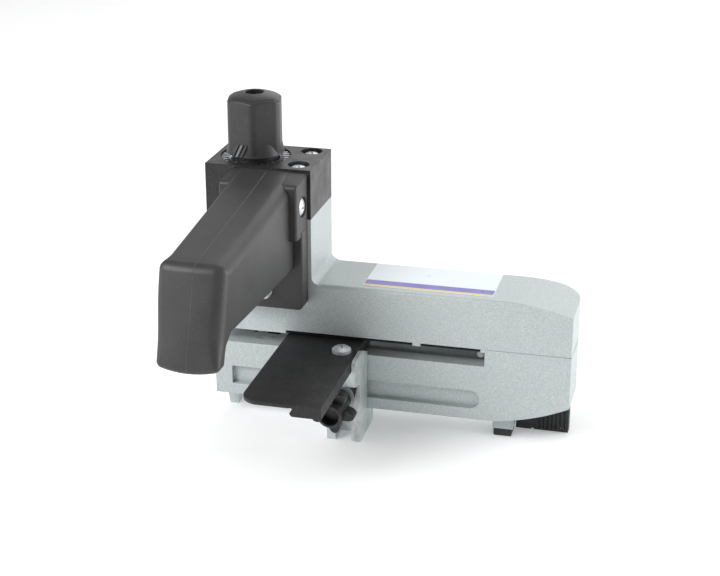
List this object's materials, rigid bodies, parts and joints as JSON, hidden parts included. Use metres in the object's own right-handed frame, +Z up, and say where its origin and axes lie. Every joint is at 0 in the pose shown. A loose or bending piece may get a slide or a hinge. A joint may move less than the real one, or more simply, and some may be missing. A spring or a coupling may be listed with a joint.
{
  "type": "strip cutter",
  "caption": "Hand-held rotary strip cutter with a C-shaped frame and throat, shear wheels, height knob, side handle and sliding edge guide.",
  "frame": {"origin": "centre of the object's box, on the surface that its feet stand on", "axes": "+X along the jaw towards the closed end of the throat, +Y from the handle's free end to the back of the castings, +Z up along the height knob's axis"},
  "size_m": [0.1834, 0.1606, 0.1673],
  "materials": {
    "cast_silver": "fine speckled silver-grey paint on an aluminium casting",
    "head_black": "satin black anodised",
    "grip_plastic": "soft matt dark grey-brown moulding with a fine raised mould line",
    "knob_plastic": "satin charcoal moulding",
    "zinc_screw": "bright zinc-plated",
    "dark_steel": "blackened steel",
    "tool_steel": "ground tool steel",
    "bronze": "sintered bronze",
    "strip_black": "smooth black wear strip",
    "label_print": "printed film, pale with a violet band and a thin yellow line",
    "rubber_black": "matt black ribbed rubber",
    "guide_black": "satin black anodised extrusion",
    "bracket_grey": "raw grey die casting with flow marks",
    "star_black": "black moulding with worn edges"
  },
  "bodies": {
    "frame": {"lower_body": "cast_silver", "upper_body": "cast_silver", "head_block": "head_black", "head_block_screws": "zinc_screw", "jaw_bolts": "dark_steel", "dowel_pins": "tool_steel", "slot_end_pin": "cast_silver", "roof_strip_long": "strip_black", "roof_strip_short": "strip_black", "label_plate": "label_print", "handle_grip": "grip_plastic", "handle_side_screws": "zinc_screw", "handle_front_screw": "zinc_screw", "lower_axle": "tool_steel", "lower_spacer": "tool_steel", "pocket_cover": "tool_steel", "cover_screws": "dark_steel", "front_foot_pad": "rubber_black", "end_shoe": "rubber_black", "shoe_screws": "dark_steel", "click_ring": "tool_steel", "screw_keeper": "tool_steel", "keeper_screws": "dark_steel"},
    "knob": {"depth_knob": "knob_plastic", "lead_screw": "tool_steel", "knob_screw": "zinc_screw"},
    "carriage": {"cutter_carriage": "tool_steel", "upper_axle": "tool_steel", "upper_washer": "tool_steel"},
    "upper_wheel": {"upper_cutter": "tool_steel", "upper_bush": "bronze"},
    "lower_wheel": {"lower_cutter": "tool_steel", "lower_bush": "bronze"},
    "guide": {"fence_plate": "guide_black", "fence_bracket": "bracket_grey", "fence_screw": "zinc_screw"},
    "lock": {"lock_knob": "star_black", "lock_stud": "zinc_screw"}
  },
  "joints": [
    {"name": "knob_turn", "type": "hinge", "parent": "frame", "child": "knob", "pos_m": [-0.07195, 0.06175, 0.136], "axis": [0, 0, 1], "range_deg": [0, 2420]},
    {"name": "carriage_slide", "type": "slide", "parent": "frame", "child": "carriage", "axis": [0, 0, -1], "range_m": [0, 0.0084]},
    {"name": "upper_wheel_spin", "type": "hinge", "parent": "carriage", "child": "upper_wheel", "pos_m": [-0.06345, 0.06175, 0.0624], "axis": [1, 0, 0], "continuous": true},
    {"name": "lower_wheel_spin", "type": "hinge", "parent": "frame", "child": "lower_wheel", "pos_m": [-0.07015, 0.06175, 0.0282], "axis": [1, 0, 0], "continuous": true},
    {"name": "guide_slide", "type": "slide", "parent": "frame", "child": "guide", "axis": [1, 0, 0], "range_m": [-0.0075, 0.056]},
    {"name": "lock_turn", "type": "hinge", "parent": "guide", "child": "lock", "pos_m": [-0.01975, 0.02675, 0.02285], "axis": [0, -1, 0], "range_deg": [0, 360]}
  ],
  "couplings": [
    {"joint": "knob_turn", "follows": "carriage_slide", "rad_per_m": 5026.5}
  ]
}
